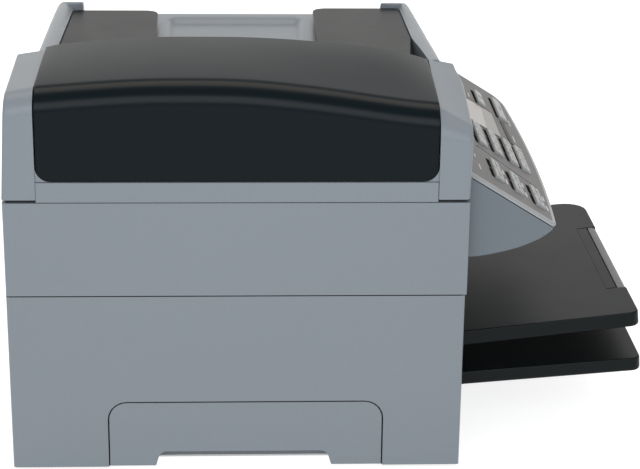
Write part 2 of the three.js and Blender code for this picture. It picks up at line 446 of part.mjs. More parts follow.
add("panel_plate", cut(
  onPanel(plateOutline(0), -2.2, -0.2),
  onPanel(rounded(rect(LCD_W0 - 0.4, LCD_W1 + 0.4, LCD_S0 - 0.4, LCD_S1 + 0.4), 2, 1), -6, 3),
  // each key's hole runs on into a finger slot above the key
  ...KEYS.map((k) => onPanel(rect(k.w0 - 0.5, k.w1 + 0.5, k.s0 - 0.5, k.s1 + 3.2), -6, 3)),
  onPanel([[FLAP[1][0] - 0.7, FLAP[1][1]], [FLAP[1][0] + 0.7, FLAP[1][1]], [FLAP[0][0] + 0.7, FLAP[0][1]], [FLAP[0][0] - 0.7, FLAP[0][1]]], -1.3, 3),
), PLATE);
add("lcd_window", onPanel(rounded(rect(LCD_W0, LCD_W1, LCD_S0, LCD_S1), 1.6, 1), -2.4, 0.2), LCD);
for (const k of KEYS) {
  const P = (w, s, n) => PANEL_O.clone().addScaledVector(along, w - PANEL_W0).addScaledVector(slope, s).addScaledVector(normal, n);
  const pts = [];
  // wedge-shaped cap, higher at the upper side
  for (const w of [k.w0, k.w1]) pts.push(P(w, k.s0, -4.5), P(w, k.s1, -4.5), P(w, k.s0, 0.8), P(w, k.s1, 2.2));
  for (const w of [k.w0 + 0.9, k.w1 - 0.9]) pts.push(P(w, k.s0 + 1.6, 1.9), P(w, k.s1 - 0.9, 3.1));
  add(k.name, solid(new ConvexGeometry(pts)), KEY);
}

export default fax;
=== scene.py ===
# Desktop laser fax machine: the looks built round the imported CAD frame.
import json
import math

import bmesh
import bpy
from mathutils import Matrix, Vector


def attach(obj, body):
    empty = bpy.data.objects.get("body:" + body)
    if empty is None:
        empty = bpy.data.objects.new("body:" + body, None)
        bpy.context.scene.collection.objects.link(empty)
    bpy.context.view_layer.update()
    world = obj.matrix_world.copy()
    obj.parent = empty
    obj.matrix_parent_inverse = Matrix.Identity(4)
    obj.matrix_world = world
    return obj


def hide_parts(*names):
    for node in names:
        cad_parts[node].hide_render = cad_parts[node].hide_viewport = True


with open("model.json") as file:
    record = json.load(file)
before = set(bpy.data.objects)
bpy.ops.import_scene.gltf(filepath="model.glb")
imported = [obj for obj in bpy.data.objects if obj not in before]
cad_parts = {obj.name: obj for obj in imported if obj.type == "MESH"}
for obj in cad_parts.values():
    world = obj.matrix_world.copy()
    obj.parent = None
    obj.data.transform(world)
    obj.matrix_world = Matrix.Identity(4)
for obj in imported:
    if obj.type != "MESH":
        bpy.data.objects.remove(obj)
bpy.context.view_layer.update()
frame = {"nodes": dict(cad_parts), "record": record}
NODES = frame["nodes"]
scene = bpy.context.scene
COLL = scene.collection
scene.view_settings.view_transform = "Standard"
scene.view_settings.look = "None"
scene.view_settings.exposure = 0.0
CY = 86.2  # depth of the cabinet's centre behind the frame's origin, mm


# ---- measures: w from the left side, f forwards of the cabinet's centre, h above its lower edge, mm ----
def V(w, f, h):
    return Vector(((w - 202.0) / 1000, (CY - f) / 1000, (h + 4.0) / 1000))


def interp(table, x):
    """A smooth curve through the (x, y) rows of table."""
    if x <= table[0][0]:
        return table[0][1]
    if x >= table[-1][0]:
        return table[-1][1]

    def slope(i):
        if i == 0:
            return (table[1][1] - table[0][1]) / (table[1][0] - table[0][0])
        if i == len(table) - 1:
            return (table[-1][1] - table[-2][1]) / (table[-1][0] - table[-2][0])
        return (table[i + 1][1] - table[i - 1][1]) / (table[i + 1][0] - table[i - 1][0])

    for i in range(1, len(table)):
        if x <= table[i][0]:
            x0, y0 = table[i - 1]
            x1, y1 = table[i]
            d = x1 - x0
            t = (x - x0) / d
            m0, m1 = slope(i - 1) * d, slope(i) * d
            return ((2 * t**3 - 3 * t**2 + 1) * y0 + (t**3 - 2 * t**2 + t) * m0 + (-2 * t**3 + 3 * t**2) * y1 + (t**3 - t**2) * m1)


def arc(cx, cy, r, a0, a1, n):
    """n + 1 points of an arc, angles in degrees."""
    return [(cx + r * math.cos(math.radians(a0 + (a1 - a0) * i / n)), cy + r * math.sin(math.radians(a0 + (a1 - a0) * i / n))) for i in range(n + 1)]


def rounded(poly, radii, n=6):
    """The polygon with each corner rounded, always n + 1 points a corner."""
    out = []
    k = len(poly)
    for i, p in enumerate(poly):
        r = max(0.02, radii[i])
        a, b = poly[i - 1], poly[(i + 1) % k]
        ua = ((a[0] - p[0]), (a[1] - p[1]))
        ub = ((b[0] - p[0]), (b[1] - p[1]))
        la, lb = math.hypot(*ua), math.hypot(*ub)
        ua, ub = (ua[0] / la, ua[1] / la), (ub[0] / lb, ub[1] / lb)
        half = math.acos(max(-1, min(1, ua[0] * ub[0] + ua[1] * ub[1]))) / 2
        t = min(r / math.tan(half), la * 0.49, lb * 0.49)
        rr = t * math.tan(half)
        m = (ua[0] + ub[0], ua[1] + ub[1])
        lm = math.hypot(*m)
        c = (p[0] + m[0] / lm * rr / math.sin(half), p[1] + m[1] / lm * rr / math.sin(half))
        a0 = math.atan2(p[1] + ua[1] * t - c[1], p[0] + ua[0] * t - c[0])
        a1 = math.atan2(p[1] + ub[1] * t - c[1], p[0] + ub[0] * t - c[0])
        while a1 - a0 > math.pi:
            a1 -= 2 * math.pi
        while a1 - a0 < -math.pi:
            a1 += 2 * math.pi
        for j in range(n + 1):
            q = a0 + (a1 - a0) * j / n
            out.append((c[0] + rr * math.cos(q), c[1] + rr * math.sin(q)))
    return out


def offset_poly(poly, d):
    """The counter-clockwise polygon moved inwards by d, mitred."""
    k = len(poly)
    out = []
    for i, p in enumerate(poly):
        a, b = poly[i - 1], poly[(i + 1) % k]
        e0 = (p[0] - a[0], p[1] - a[1])
        e1 = (b[0] - p[0], b[1] - p[1])
        l0, l1 = math.hypot(*e0), math.hypot(*e1)
        n0 = (-e0[1] / l0, e0[0] / l0)
        n1 = (-e1[1] / l1, e1[0] / l1)
        den = 1 + n0[0] * n1[0] + n0[1] * n1[1]
        out.append((p[0] + d * (n0[0] + n1[0]) / den, p[1] + d * (n0[1] + n1[1]) / den))
    return out


def turns(poly):
    """+1 for each convex corner of a counter-clockwise polygon, -1 for each concave one."""
    k = len(poly)
    out = []
    for i, p in enumerate(poly):
        a, b = poly[i - 1], poly[(i + 1) % k]
        c = (p[0] - a[0]) * (b[1] - p[1]) - (p[1] - a[1]) * (b[0] - p[0])
        out.append(1 if c > 0 else -1)
    return out


def soft_outline(poly, radii, d, n=6):
    """Rounded outline of poly moved inwards by d: the point count doesn't depend on d."""
    t = turns(poly)
    return rounded(offset_poly(poly, d), [max(0.25, r - d) if c > 0 else r + d for r, c in zip(radii, t)], n)


class Shape:
    """Vertices and faces of one piece, gathered from several closed bodies."""

    def __init__(self):
        self.v, self.f = [], []

    def loft(self, rings, caps=True, loop=False):
        """Skins closed rings of the same length; loop joins the last ring to the first."""
        o, n = len(self.v), len(rings[0])
        for r in rings:
            self.v.extend(r)
        m = len(rings)
        for i in range(m if loop else m - 1):
            for j in range(n):
                a, b = o + i * n + j, o + i * n + (j + 1) % n
                i2 = (i + 1) % m
                c, d = o + i2 * n + (j + 1) % n, o + i2 * n + j
                self.f.append((a, b, c, d))
        if caps and not loop:
            self.f.append(tuple(o + j for j in reversed(range(n))))
            self.f.append(tuple(o + (m - 1) * n + j for j in range(n)))
        return self

    def sheet(self, rows):
        """An open grid of points."""
        o, n = len(self.v), len(rows[0])
        for r in rows:
            self.v.extend(r)
        for i in range(len(rows) - 1):
            for j in range(n - 1):
                self.f.append((o + i * n + j, o + i * n + j + 1, o + (i + 1) * n + j + 1, o + (i + 1) * n + j))
        return self

    def box(self, a, b):
        """A box between two points given in w, f, h."""
        (w0, f0, h0), (w1, f1, h1) = a, b
        q = [(w0, f0), (w1, f0), (w1, f1), (w0, f1)]
        return self.loft([[V(w, f, h0) for w, f in q], [V(w, f, h1) for w, f in q]])


def piece(name, shape, slot, body, nodes=(), mat=None, bevel=0.0, segments=3, angle=40, solid=0.0, close=True):
    me = bpy.data.meshes.new(name)
    me.from_pydata([tuple(p) for p in shape.v], [], shape.f)
    bm = bmesh.new()
    bm.from_mesh(me)
    bmesh.ops.remove_doubles(bm, verts=bm.verts, dist=2e-6)
    if close:
        bmesh.ops.recalc_face_normals(bm, faces=bm.faces)
    bm.to_mesh(me)
    bm.free()
    me.polygons.foreach_set("use_smooth", [True] * len(me.polygons))
    if not bevel:
        me.set_sharp_from_angle(angle=math.radians(48))
    o = bpy.data.objects.new(name, me)
    COLL.objects.link(o)
    if solid:
        sd = o.modifiers.new("wall", "SOLIDIFY")
        sd.thickness = solid
        sd.offset = -1
        sd.use_even_offset = True
    if bevel:
        bv = o.modifiers.new("round", "BEVEL")
        bv.width = bevel
        bv.segments = segments
        bv.limit_method = "ANGLE"
        bv.angle_limit = math.radians(angle)
        bv.harden_normals = True
        bv.miter_outer = "MITER_ARC"
    wn = o.modifiers.new("normals", "WEIGHTED_NORMAL")
    wn.keep_sharp = True
    wn.weight = 60
    paint(o, mat or M[slot])
    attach(o, body)
    if nodes:
        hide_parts(*nodes)
    return o


# ---- camera -----------------------------------------------------------------------------------------
def make_camera():
    cam = bpy.data.cameras.new("camera")
    ob = bpy.data.objects.new("camera", cam)
    COLL.objects.link(ob)
    cam.sensor_width = 36.0
    cam.lens = 1917.0 / 640 * 36
    cam.clip_start, cam.clip_end = 0.05, 50
    yaw, pitch, roll = (math.radians(a) for a in (2.525, 19.883, 0.709))
    fwd = Vector((math.cos(yaw) * math.cos(pitch), -math.sin(yaw) * math.cos(pitch), -math.sin(pitch)))
    right = Vector((-math.sin(yaw), -math.cos(yaw), 0))
    up = right.cross(fwd)
    r2 = right * math.cos(roll) + up * math.sin(roll)
    u2 = up * math.cos(roll) - right * math.sin(roll)
    m = Matrix((r2, u2, -fwd)).transposed().to_4x4()
    m.translation = Vector((-1.77835, 0.08264, 0.79912))
    ob.matrix_world = m
    scene.camera = ob
    return ob


make_camera()
# ---- materials ----------------------------------------------------------------------------------------
def srgb(c):
    return tuple(((x / 255) / 12.92 if x / 255 <= 0.04045 else ((x / 255 + 0.055) / 1.055) ** 2.4) for x in c)


class Mat:
    """A small builder for node materials."""

    def __init__(self, name):
        self.m = bpy.data.materials.new(name)
        self.m.use_nodes = True
        self.t = self.m.node_tree
        self.t.nodes.clear()
        self.out = self.t.nodes.new("ShaderNodeOutputMaterial")
        self.b = self.t.nodes.new("ShaderNodeBsdfPrincipled")
        self.t.links.new(self.b.outputs[0], self.out.inputs[0])
        self.co = self.t.nodes.new("ShaderNodeTexCoord").outputs["Object"]

    def node(self, kind, **props):
        n = self.t.nodes.new(kind)
        for k, v in props.items():
            setattr(n, k, v)
        return n

    def link(self, a, b):
        self.t.links.new(a, b)

    def noise(self, scale, detail=2.0, rough=0.5, stretch=None):
        n = self.node("ShaderNodeTexNoise")
        n.inputs["Scale"].default_value = scale
        n.inputs["Detail"].default_value = detail
        n.inputs["Roughness"].default_value = rough
        if stretch:
            mp = self.node("ShaderNodeMapping")
            mp.inputs["Scale"].default_value = stretch
            self.link(self.co, mp.inputs[0])
            self.link(mp.outputs[0], n.inputs["Vector"])
        else:
            self.link(self.co, n.inputs["Vector"])
        return n.outputs["Fac"]

    def remap(self, src, lo, hi, a, b):
        n = self.node("ShaderNodeMapRange")
        n.inputs["From Min"].default_value = lo
        n.inputs["From Max"].default_value = hi
        n.inputs["To Min"].default_value = a
        n.inputs["To Max"].default_value = b
        self.link(src, n.inputs["Value"])
        return n.outputs["Result"]

    def math(self, op, a, b):
        n = self.node("ShaderNodeMath", operation=op)
        for i, x in enumerate((a, b)):
            if isinstance(x, (int, float)):
                n.inputs[i].default_value = x
            else:
                self.link(x, n.inputs[i])
        return n.outputs[0]

    def mix(self, fac, a, b):
        n = self.node("ShaderNodeMix", data_type="RGBA")
        if isinstance(fac, (int, float)):
            n.inputs[0].default_value = fac
        else:
            self.link(fac, n.inputs[0])
        for i, x in ((6, a), (7, b)):
            if isinstance(x, tuple):
                n.inputs[i].default_value = (*x[:3], 1)
            else:
                self.link(x, n.inputs[i])
        return n.outputs[2]

    def edge(self, radius=0.0012):
        """0 on flat faces, rising to 1 on convex edges."""
        bev = self.node("ShaderNodeBevel")
        bev.samples = 4
        bev.inputs["Radius"].default_value = radius
        geo = self.node("ShaderNodeNewGeometry")
        d = self.node("ShaderNodeVectorMath", operation="DOT_PRODUCT")
        self.link(bev.outputs[0], d.inputs[0])
        self.link(geo.outputs["Normal"], d.inputs[1])
        return self.remap(d.outputs["Value"], 0.995, 0.85, 0.0, 1.0)


def plastic(name, rgb, rough=0.45, spec=0.5, grain=0.12, grain_scale=1400, vary=0.035, wear=0.12, wear_rgb=None, coat=0.0):
    k = Mat(name)
    base = srgb(rgb)
    big = k.noise(7, 3)
    fine = k.noise(grain_scale * 0.6, 1)
    dark = tuple(c * (1 - vary) for c in base)
    light = tuple(min(1, c * (1 + vary)) for c in base)
    col = k.mix(k.remap(big, 0.3, 0.7, 0, 1), dark, light)
    speck = k.mix(k.remap(fine, 0.35, 0.65, 0, 1), tuple(c * 0.97 for c in base), tuple(min(1, c * 1.03) for c in base))
    col = k.mix(0.5, col, speck)
    worn = wear_rgb or tuple(min(255, c * 1.18 + 14) for c in rgb)
    mask = k.math("MULTIPLY", k.edge(), k.remap(k.noise(60, 3), 0.35, 0.7, 0.3 * wear, wear))
    col = k.mix(mask, col, srgb(worn))
    k.link(col, k.b.inputs["Base Color"])
    k.link(k.remap(k.noise(24, 4), 0.3, 0.7, rough - 0.01, rough + 0.015), k.b.inputs["Roughness"])
    k.b.inputs["Specular IOR Level"].default_value = spec
    if coat:
        k.b.inputs["Coat Weight"].default_value = coat
        k.b.inputs["Coat Roughness"].default_value = 0.2
    bump = k.node("ShaderNodeBump")
    bump.inputs["Strength"].default_value = grain
    bump.inputs["Distance"].default_value = 0.0003
    vor = k.node("ShaderNodeTexVoronoi")
    vor.inputs["Scale"].default_value = grain_scale
    k.link(k.co, vor.inputs["Vector"])
    k.link(k.math("ADD", vor.outputs["Distance"], k.noise(grain_scale * 0.5, 2)), bump.inputs["Height"])
    k.link(bump.outputs[0], k.b.inputs["Normal"])
    return k.m


def metal(name, rgb, rough=0.35, stretch=(1, 40, 1)):
    k = Mat(name)
    base = srgb(rgb)
    n = k.noise(30, 4, 0.6, stretch)
    col = k.mix(k.remap(n, 0.3, 0.7, 0, 1), tuple(c * 0.9 for c in base), tuple(min(1, c * 1.08) for c in base))
    col = k.mix(k.math("MULTIPLY", k.edge(), 0.3), col, tuple(min(1, c * 1.25) for c in base))
    k.link(col, k.b.inputs["Base Color"])
    k.b.inputs["Metallic"].default_value = 1.0
    k.link(k.remap(n, 0.3, 0.7, rough - 0.07, rough + 0.1), k.b.inputs["Roughness"])
    bump = k.node("ShaderNodeBump")
    bump.inputs["Strength"].default_value = 0.05
    bump.inputs["Distance"].default_value = 0.0002
    k.link(n, bump.inputs["Height"])
    k.link(bump.outputs[0], k.b.inputs["Normal"])
    return k.m


def glass(name, rgb, alpha=0.35):
    k = Mat(name)
    k.link(k.mix(k.remap(k.noise(12, 2), 0.3, 0.7, 0, 1), tuple(c * 0.96 for c in srgb(rgb)), srgb(rgb)), k.b.inputs["Base Color"])
    k.link(k.remap(k.noise(40, 3), 0.3, 0.7, 0.03, 0.09), k.b.inputs["Roughness"])
    k.b.inputs["Alpha"].default_value = alpha
    k.b.inputs["Specular IOR Level"].default_value = 0.6
    return k.m


M = {
    "light_shell": plastic("light_shell", (117, 124, 131), 0.31, 0.27, vary=0.012, wear=0.0),
    "dark_shell": plastic("dark_shell", (9, 15, 17), 0.36, 0.13, grain=0.1, grain_scale=1100, vary=0.03, wear=0.05),
    "cover_dark": plastic("cover_dark", (5, 15, 20), 0.26, 0.115, grain=0.02, vary=0.015, wear=0.0),
    "grey_plastic": plastic("grey_plastic", (96, 100, 104), 0.45, 0.4, vary=0.02),
    "panel_grey": plastic("panel_grey", (96, 96, 97), 0.5, 0.3, grain=0.08, vary=0.02),
    "key_grey": plastic("key_grey", (150, 153, 154), 0.42, 0.4, vary=0.02, wear=0.15),
    "black_plastic": plastic("black_plastic", (20, 21, 22), 0.5, 0.4),
    "display": plastic("display", (150, 146, 144), 0.25, 0.2, grain=0.01, vary=0.01, wear=0.0),
    "sheet_steel": metal("sheet_steel", (176, 178, 180), 0.38),
    "rubber": plastic("rubber", (24, 24, 25), 0.8, 0.3, grain=0.4, grain_scale=700),
    "photoconductor": plastic("photoconductor", (70, 138, 128), 0.22, 0.6, grain=0.02, wear=0.0, coat=0.5),
    "fuser_sleeve": plastic("fuser_sleeve", (120, 52, 38), 0.4, 0.5, grain=0.05),
    "circuit_board": plastic("circuit_board", (38, 96, 58), 0.4, 0.5, grain=0.3, grain_scale=300),
    "platen_glass": glass("platen_glass", (188, 206, 200)),
}
# painted highlight: a lighter grey for the stopper's raised lip, standing in for the light its ridge catches
LIP_HIGHLIGHT_GREY = plastic("lip_painted_highlight", (94, 96, 97), 0.4, 0.3, grain=0.06, vary=0.02)
# the panel rim's own lighter grey; on the flap's rolled edge it also paints a highlight
RIM_GREY_AND_EDGE_HIGHLIGHT = plastic("rim_grey_and_painted_highlight", (138, 142, 144), 0.4, 0.4, vary=0.012)
# painted shade: a darker copy of the light shell's colour for the control panel's housing, whose near face sits in
# shade
SHELL_SHADED = plastic("shell_painted_shade", (95, 103, 110), 0.42, 0.35, vary=0.012, wear=0.0)
LABEL = plastic("label_grey", (138, 137, 134), 0.4, 0.3, grain=0.03, vary=0.02, wear=0.0)
MARK = plastic("mark_light", (176, 178, 176), 0.5, 0.3, grain=0.02, vary=0.02, wear=0.0)
TRAY_TOP = plastic("tray_top", (9, 14, 16), 0.38, 0.095, grain=0.08, grain_scale=1100, vary=0.03, wear=0.03)
# painted shade: a flat, matt near-black laid into gaps, seams and slots where only shade falls
PAINTED_SHADE = plastic("painted_shade_dark", (30, 31, 31), 0.9, 0.0, grain=0.02, wear=0.0)
INK = plastic("ink", (44, 46, 48), 0.6, 0.2, grain=0.02, wear=0.0)
SLOT = {s["node"]: s["material_slot"] for s in frame["record"]["subparts"]}


def paint(o, mat):
    o.data.materials.clear()
    o.data.materials.append(mat)


def soften(o, width=0.0008, segments=3, angle=30):
    """Rounds the edges of a faceted piece and smooths its shading."""
    o.data.polygons.foreach_set("use_smooth", [True] * len(o.data.polygons))
    wd = o.modifiers.new("weld", "WELD")
    wd.merge_threshold = 2e-6
    if not width:
        es = o.modifiers.new("creases", "EDGE_SPLIT")
        es.split_angle = math.radians(30)
        return
    dc = o.modifiers.new("planar", "DECIMATE")
    dc.decimate_type = "DISSOLVE"
    dc.angle_limit = math.radians(0.6)
    bv = o.modifiers.new("round", "BEVEL")
    bv.width = width
    bv.segments = segments
    bv.limit_method = "ANGLE"
    bv.angle_limit = math.radians(angle)
    bv.harden_normals = True
    bv.use_clamp_overlap = True
    bv.miter_outer = "MITER_ARC"
    wn = o.modifiers.new("normals", "WEIGHTED_NORMAL")
    wn.keep_sharp = True
    wn.weight = 100


WIDTHS = {"lower_housing": 0.0, "main_housing": 0.0, "cassette_front": 0.0, "main_board": 0.0, "power_supply": 0.0, "laser_unit": 0.0, "fuser_unit": 0.0, "image_sensor": 0.0, "side_strip": 0.0006, "paper_stopper": 0.0005,
          "panel_plate": 0.0, "lcd_window": 0.0003}
for name, o in NODES.items():
    paint(o, M[SLOT[name]])
    soften(o, WIDTHS.get(name, 0.0004), 2 if name.startswith(("key", "onetouch")) else 3)


# ---- feeder cover -------------------------------------------------------------------------------------
CREST_NEAR = [(-173.2, 353.8), (-134, 357), (-108, 358.8), (-82, 360.2), (-57, 360.7), (-31, 360.7), (-5, 360.3), (21, 358.8), (46.6, 356.3), (72.5, 353.2), (98.6, 349.6), (125, 345.6), (151, 342), (168, 340.2), (176.2, 339.4)]
CREST_FAR = [(-173.2, 359.4), (-162, 361.8), (-123.5, 366), (-73, 369), (-33, 369.4), (3.6, 369.1), (40, 367.6), (75, 365), (104, 362.2), (131.7, 358.8), (150.2, 355.6), (162.2, 352.6), (173.4, 349.2), (176.2, 348)]


def hood():
    f0, f1, w0, w1, bottom, corner, edge = -173.2, 176.2, 2.0, 130.0, 272.6, 14.0, 1.1
    st = [(f0 + edge * (1 - math.cos(math.radians(a))), edge * (1 - math.sin(math.radians(a)))) for a in (0, 30, 60, 90)]
    st += [(f0 + x, 0) for x in (3, 4.5, 6.5, 9, 11.5, 14)]
    n = 56
    st += [(f0 + 14 + (f1 - f0 - 28) * i / n, 0) for i in range(1, n)]
    st += [(f1 - x, 0) for x in (14, 11.5, 9, 6.5, 4.5, 3)]
    st += [(f1 - edge * (1 - math.cos(math.radians(a))), edge * (1 - math.sin(math.radians(a)))) for a in (90, 60, 30, 0)]
    rows = []
    for f, off in st:
        near, far = interp(CREST_NEAR, f) - off, interp(CREST_FAR, f) - off
        d = max(f0 + corner - f, f - (f1 - corner), 0)
        low = bottom + corner - math.sqrt(max(0, corner**2 - d * d))
        r, wn = 22 - off, w0 + off
        row = [(wn + off * 0.2, low), (wn, low + 1.2), (wn, low + (near - r - low) * 0.5)]
        row += [(wn + r + r * math.cos(math.radians(a)), near - r + r * math.sin(math.radians(a))) for a in [180 - 7.7 * i for i in range(12)]]
        ws, hs = row[-1]
        k = (far - hs) / (w1 - ws)
        m0, m1 = (0.094 + 0.35 * k) * (w1 - ws), 0.55 * k * (w1 - ws)
        for i in range(1, 15):
            t = i / 14
            h = (2 * t**3 - 3 * t**2 + 1) * hs + (t**3 - 2 * t**2 + t) * m0 + (-2 * t**3 + 3 * t**2) * far + (t**3 - t**2) * m1
            row.append((ws + (w1 - ws) * t, h))
        rows.append([V(w, f, h) for w, h in row])
    s = Shape().sheet(rows)
    n = len(rows[0])
    for k, row in ((0, rows[0]), (len(rows) - 1, rows[-1])):
        f = (st[0] if k == 0 else st[-1])[0]
        s.v.append(V(w1, f, 286.6))
        face = [k * n + j for j in range(n)] + [len(s.v) - 1]
        s.f.append(tuple(face if k == 0 else reversed(face)))
    return piece("feeder_cover", s, "cover_dark", "adf_cover", ("adf_cover",), solid=0.0026, bevel=0.0005, angle=60, segments=2)


hood()


# ---- scanner unit: blocks beside the cover, rails round the document deck -------------------------------
TOP0 = 256.4


def top_profile(w_far, h_low, h_crease, r, h_far, d=0.0):
    """(w, h) outline of a block: upright near face, a rounded crease, a slope up to its far end; d moves it inwards."""
    ang = math.degrees(math.atan2(h_far - h_crease, w_far))
    turn = 90 - ang
    t = r * math.tan(math.radians(turn / 2))
    cx, cy = r, h_crease - t
    rr = r - d
    lo = h_low + d * 0.4
    pts = [(d, lo), (d, (h_low + cy) / 2)]
    pts += arc(cx, cy, rr, 180, 180 - turn, 14)
    x, y = pts[-1]
    xf, yf = w_far, h_far - d
    pts += [(x + (xf - x) * i / 12, y + (yf - y) * i / 12) for i in range(1, 13)]
    pts += [(xf, lo)]
    return pts


def block(name, f_in, outer_f, inner, outer, lip_r):
    """inner and outer are (crease height, crease radius, far height); outer_f gives the outer face's f at (w, h)."""
    rings = []
    for t in (0.0, 0.35, 0.7):
        rings.append((t, 0.0, None))
    for q in range(0, 91, 15):
        rings.append((1.0, lip_r * (1 - math.cos(math.radians(q))), lip_r * (1 - math.sin(math.radians(q)))))
    out = []
    for t, d, back in rings:
        a, b = top_profile(131, TOP0, *inner, d=d), top_profile(131, TOP0, *outer, d=d)
        ring = []
        for (wa, ha), (wb, hb) in zip(a, b):
            w, h = wa + (wb - wa) * t, ha + (hb - ha) * t
            fo = outer_f(w, h)
            sgn = 1 if fo > f_in else -1
            ring.append(V(w, (f_in + (fo - sgn * lip_r - f_in) * t) if back is None else fo - sgn * back, h))
        out.append(ring)
    return piece(name, Shape().loft(out), "light_shell", "scanner_unit", ("scanner_housing",), bevel=0.0007, segments=2, angle=50)


def rear_face(w, h):
    k = max(0.0, min(1.0, (h - TOP0) / 92))
    return -203.2 + 5.1 * k - 0.012 * w * k


def front_face(w, h):
    k = max(0.0, min(1.0, (h - TOP0) / 60))
    x = max(0.0, min(1.0, (w - 90) / 42))
    return 204.4 + 0.8 * k - 4.6 * k * x * x * (3 - 2 * x)


block("block_rear", -173.6, rear_face, (352.1, 21.0, 356.4), (348.4, 21.0, 352.7), 2.6)
block("block_front", 176.55, front_face, (332.4, 26.0, 348.6), (319.4, 18.0, 344.5), 3.4)


def lerp(table, x):
    if x <= table[0][0]:
        return table[0][1:]
    for a, b in zip(table, table[1:]):
        if x <= b[0]:
            t = (x - a[0]) / (b[0] - a[0])
            return tuple(p + (q - p) * t for p, q in zip(a[1:], b[1:]))
    return table[-1][1:]


def rail(name, table, shelf):
    """A rail of the document deck and its wider end; table rows are w, outer f, inner f, outer h, inner h."""
    ws = [130.6, 134, 140, 150, 162, 176, 190, 205, 220, 236, 252, 270, 288, 306, 324, 340, 352, 362, 369] + [row[0] for row in table if row[0] > 369]
    rings = []
    for w in ws:
        fo, fi, ho, hi = lerp(table, w)
        sgn = 1 if fo > fi else -1
        wd = abs(fo - fi)
        ro, ri = min(6.5, wd * 0.42), 0.9
        ring = [(fo + 2.2 * sgn, 281), (fo + 1.0 * sgn, ho - 22), (fo + 0.25 * sgn, ho - ro - 3)]
        for a in range(0, 91, 15):
            ring.append((fo - sgn * ro * (1 - math.cos(math.radians(a))), ho - ro + ro * math.sin(math.radians(a))))
        ring += [(fo - sgn * (ro + (wd - ro - ri) * q), ho + (hi - ho) * q * q + 0.25 * q * (1 - q)) for q in (0.2, 0.4, 0.6, 0.8)]
        for a in (90, 60, 30, 0):
            ring.append((fi + sgn * ri * (1 - math.cos(math.radians(a))), hi - ri + ri * math.sin(math.radians(a))))
        low = tray_top(w) - 4.8 if shelf <= w < 371 else (308.0 if w < shelf else hi - 3)
        reach = 7.0 if w < 371 else 0.4
        ring += [(fi, low + 0.4), (fi - sgn * reach, low), (fi - sgn * reach, 281)]
        rings.append([V(w, f, h) for f, h in ring])
    return piece(name, Shape().loft(rings), "light_shell", "scanner_unit", ("scanner_housing",), bevel=0.0008, segments=2, angle=55)


def deck_h(w):
    return 315.5 + 12.5 * (w - 129) / (398 - 129)


def tray_top(w):
    return 347 - 0.0425 * (w - 137)


rail("rail_rear", [(130.6, -181.9, -167.3, 354.8, 348.4), (150, -182.0, -167.4, 354.0, 347.6), (214, -183.0, -167.7, 351.3, 344.7), (300, -184.2, -168.1, 347.6, 341.2), (366, -184.6, -168.4, 344.6, 338.6), (373.2, -184.6, -168.4, 344.3, 338.4),
                   (373.6, -184.4, -160.4, 343.4, 343.2), (374.4, -184.4, -158.8, 344.1, 344.1), (380, -184.2, -158.6, 343.8, 343.8), (385, -184.0, -158.6, 342.8, 342.8), (390, -183.7, -158.7, 340.8, 340.8), (394, -183.2, -158.9, 338.0, 338.0),
                   (397.5, -182.6, -159.2, 334.2, 334.2), (400, -181.8, -159.8, 329.6, 329.6), (401.4, -181.0, -160.4, 323.5, 323.5)], 0)
rail("rail_front", [(130.6, 188.6, 177.0, 348.0, 347.6), (156, 187.8, 175.6, 347.6, 346.6), (188, 186.8, 173.4, 347.2, 345.4), (214, 185.9, 170.9, 346.8, 344.6), (228, 185.3, 169.8, 346.5, 344.0), (256, 184.3, 169.7, 346.0, 342.9), (291, 182.6, 169.6, 345.3, 341.5),
                    (328, 181.2, 169.6, 344.4, 340.0), (352, 180.2, 169.6, 343.6, 339.0), (372, 179.3, 169.6, 342.9, 338.2), (387.2, 178.6, 169.6, 341.6, 337.6), (387.8, 178.5, 152.6, 340.4, 340.2), (388.6, 178.4, 150.9, 341.2, 341.2),
                    (391, 178.2, 150.8, 340.6, 340.6), (394, 177.8, 150.9, 338.8, 338.8), (397.5, 177.2, 151.3, 335.0, 335.0), (400, 176.4, 151.9, 330.0, 330.0), (401.4, 175.6, 152.6, 323.5, 323.5)], 221)


def deck():
    def well(w, f):
        """Depth of the finger well, with soft sides."""
        cw, cf, hw, hf, r = 300.0, -2.0, 80.5, 68.0 + 2.0 * (w - 300) / 80, 10.0
        x, y = abs(w - cw) - (hw - r), abs(f - cf) - (hf - r)
        d = math.hypot(max(x, 0), max(y, 0)) + min(max(x, y), 0) - r
        t = max(0.0, min(1.0, -d / 8.0))
        return 5.0 * t * t * (3 - 2 * t)

    def edge(w):
        d = max(0.0, w - 394.0)
        return 8.0 - math.sqrt(max(0.0, 64.0 - d * d))

    ws = [130.6] + [134 + (210 - 134) * i / 6 for i in range(7)] + [212 + (378 - 212) * i / 64 for i in range(65)] + [383, 388, 392, 394, 396, 397.5, 399, 400.2, 401.2, 402.0]
    fs = [-184, -160, -120, -84] + [-74 + 148 * i / 60 for i in range(61)] + [84, 120, 160, 184]
    rows = [[V(w, f, deck_h(w) - well(w, f) - edge(w)) for f in fs] for w in ws]
    s = Shape().sheet(rows)
    n, m = len(fs), len(ws)
    o = len(s.v)
    rim = [j for j in range(n)] + [i * n + n - 1 for i in range(1, m)] + [(m - 1) * n + j for j in range(n - 2, -1, -1)] + [i * n for i in range(m - 2, 0, -1)]
    for q in rim:
        p = s.v[q]
        s.v.append(Vector((p.x, p.y, (281 + 4) / 1000)))
    k = len(rim)
    for i in range(k):
        s.f.append((rim[i], rim[(i + 1) % k], o + (i + 1) % k, o + i))
    s.f.append(tuple(o + i for i in range(k)))
    return piece("document_deck", s, "light_shell", "scanner_unit", ("scanner_housing",), bevel=0.0)


deck()


